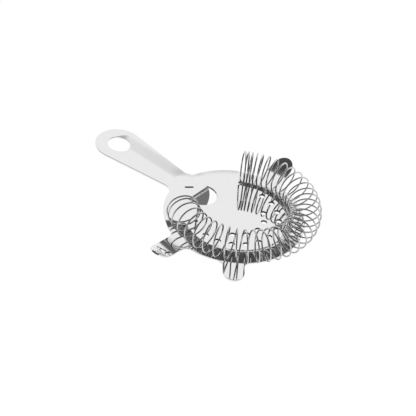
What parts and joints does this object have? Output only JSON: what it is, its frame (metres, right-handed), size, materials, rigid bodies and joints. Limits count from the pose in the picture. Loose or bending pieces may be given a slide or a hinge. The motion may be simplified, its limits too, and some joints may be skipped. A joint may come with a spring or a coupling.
{
  "type": "hawthorne strainer",
  "caption": "Bar strainer: a pressed steel disc with handle, rim prongs and a bent finger tab, with a coil spring round its front that gives against the glass.",
  "frame": {"origin": "centre of the disc, on the face that carries the coil, which is the face that goes down over the glass in use", "axes": "+X from the handle towards the front of the coil, +Z out of the face that carries the coil, +Y to complete a right-handed frame"},
  "size_m": [0.1419, 0.1145, 0.029],
  "materials": {
    "polished_sheet": "polished stainless steel sheet",
    "spring_wire": "bright drawn stainless steel wire"
  },
  "bodies": {
    "plate": {"strainer_body": "polished_sheet"},
    "coil": {"coil_spring": "spring_wire"}
  },
  "joints": [
    {"name": "coil_push", "type": "slide", "parent": "plate", "child": "coil", "axis": [-0.9962, 0, 0.0872], "range_m": [0, 0.006], "stiffness_N_per_m": 600, "deforming": ["coil_spring"]}
  ]
}
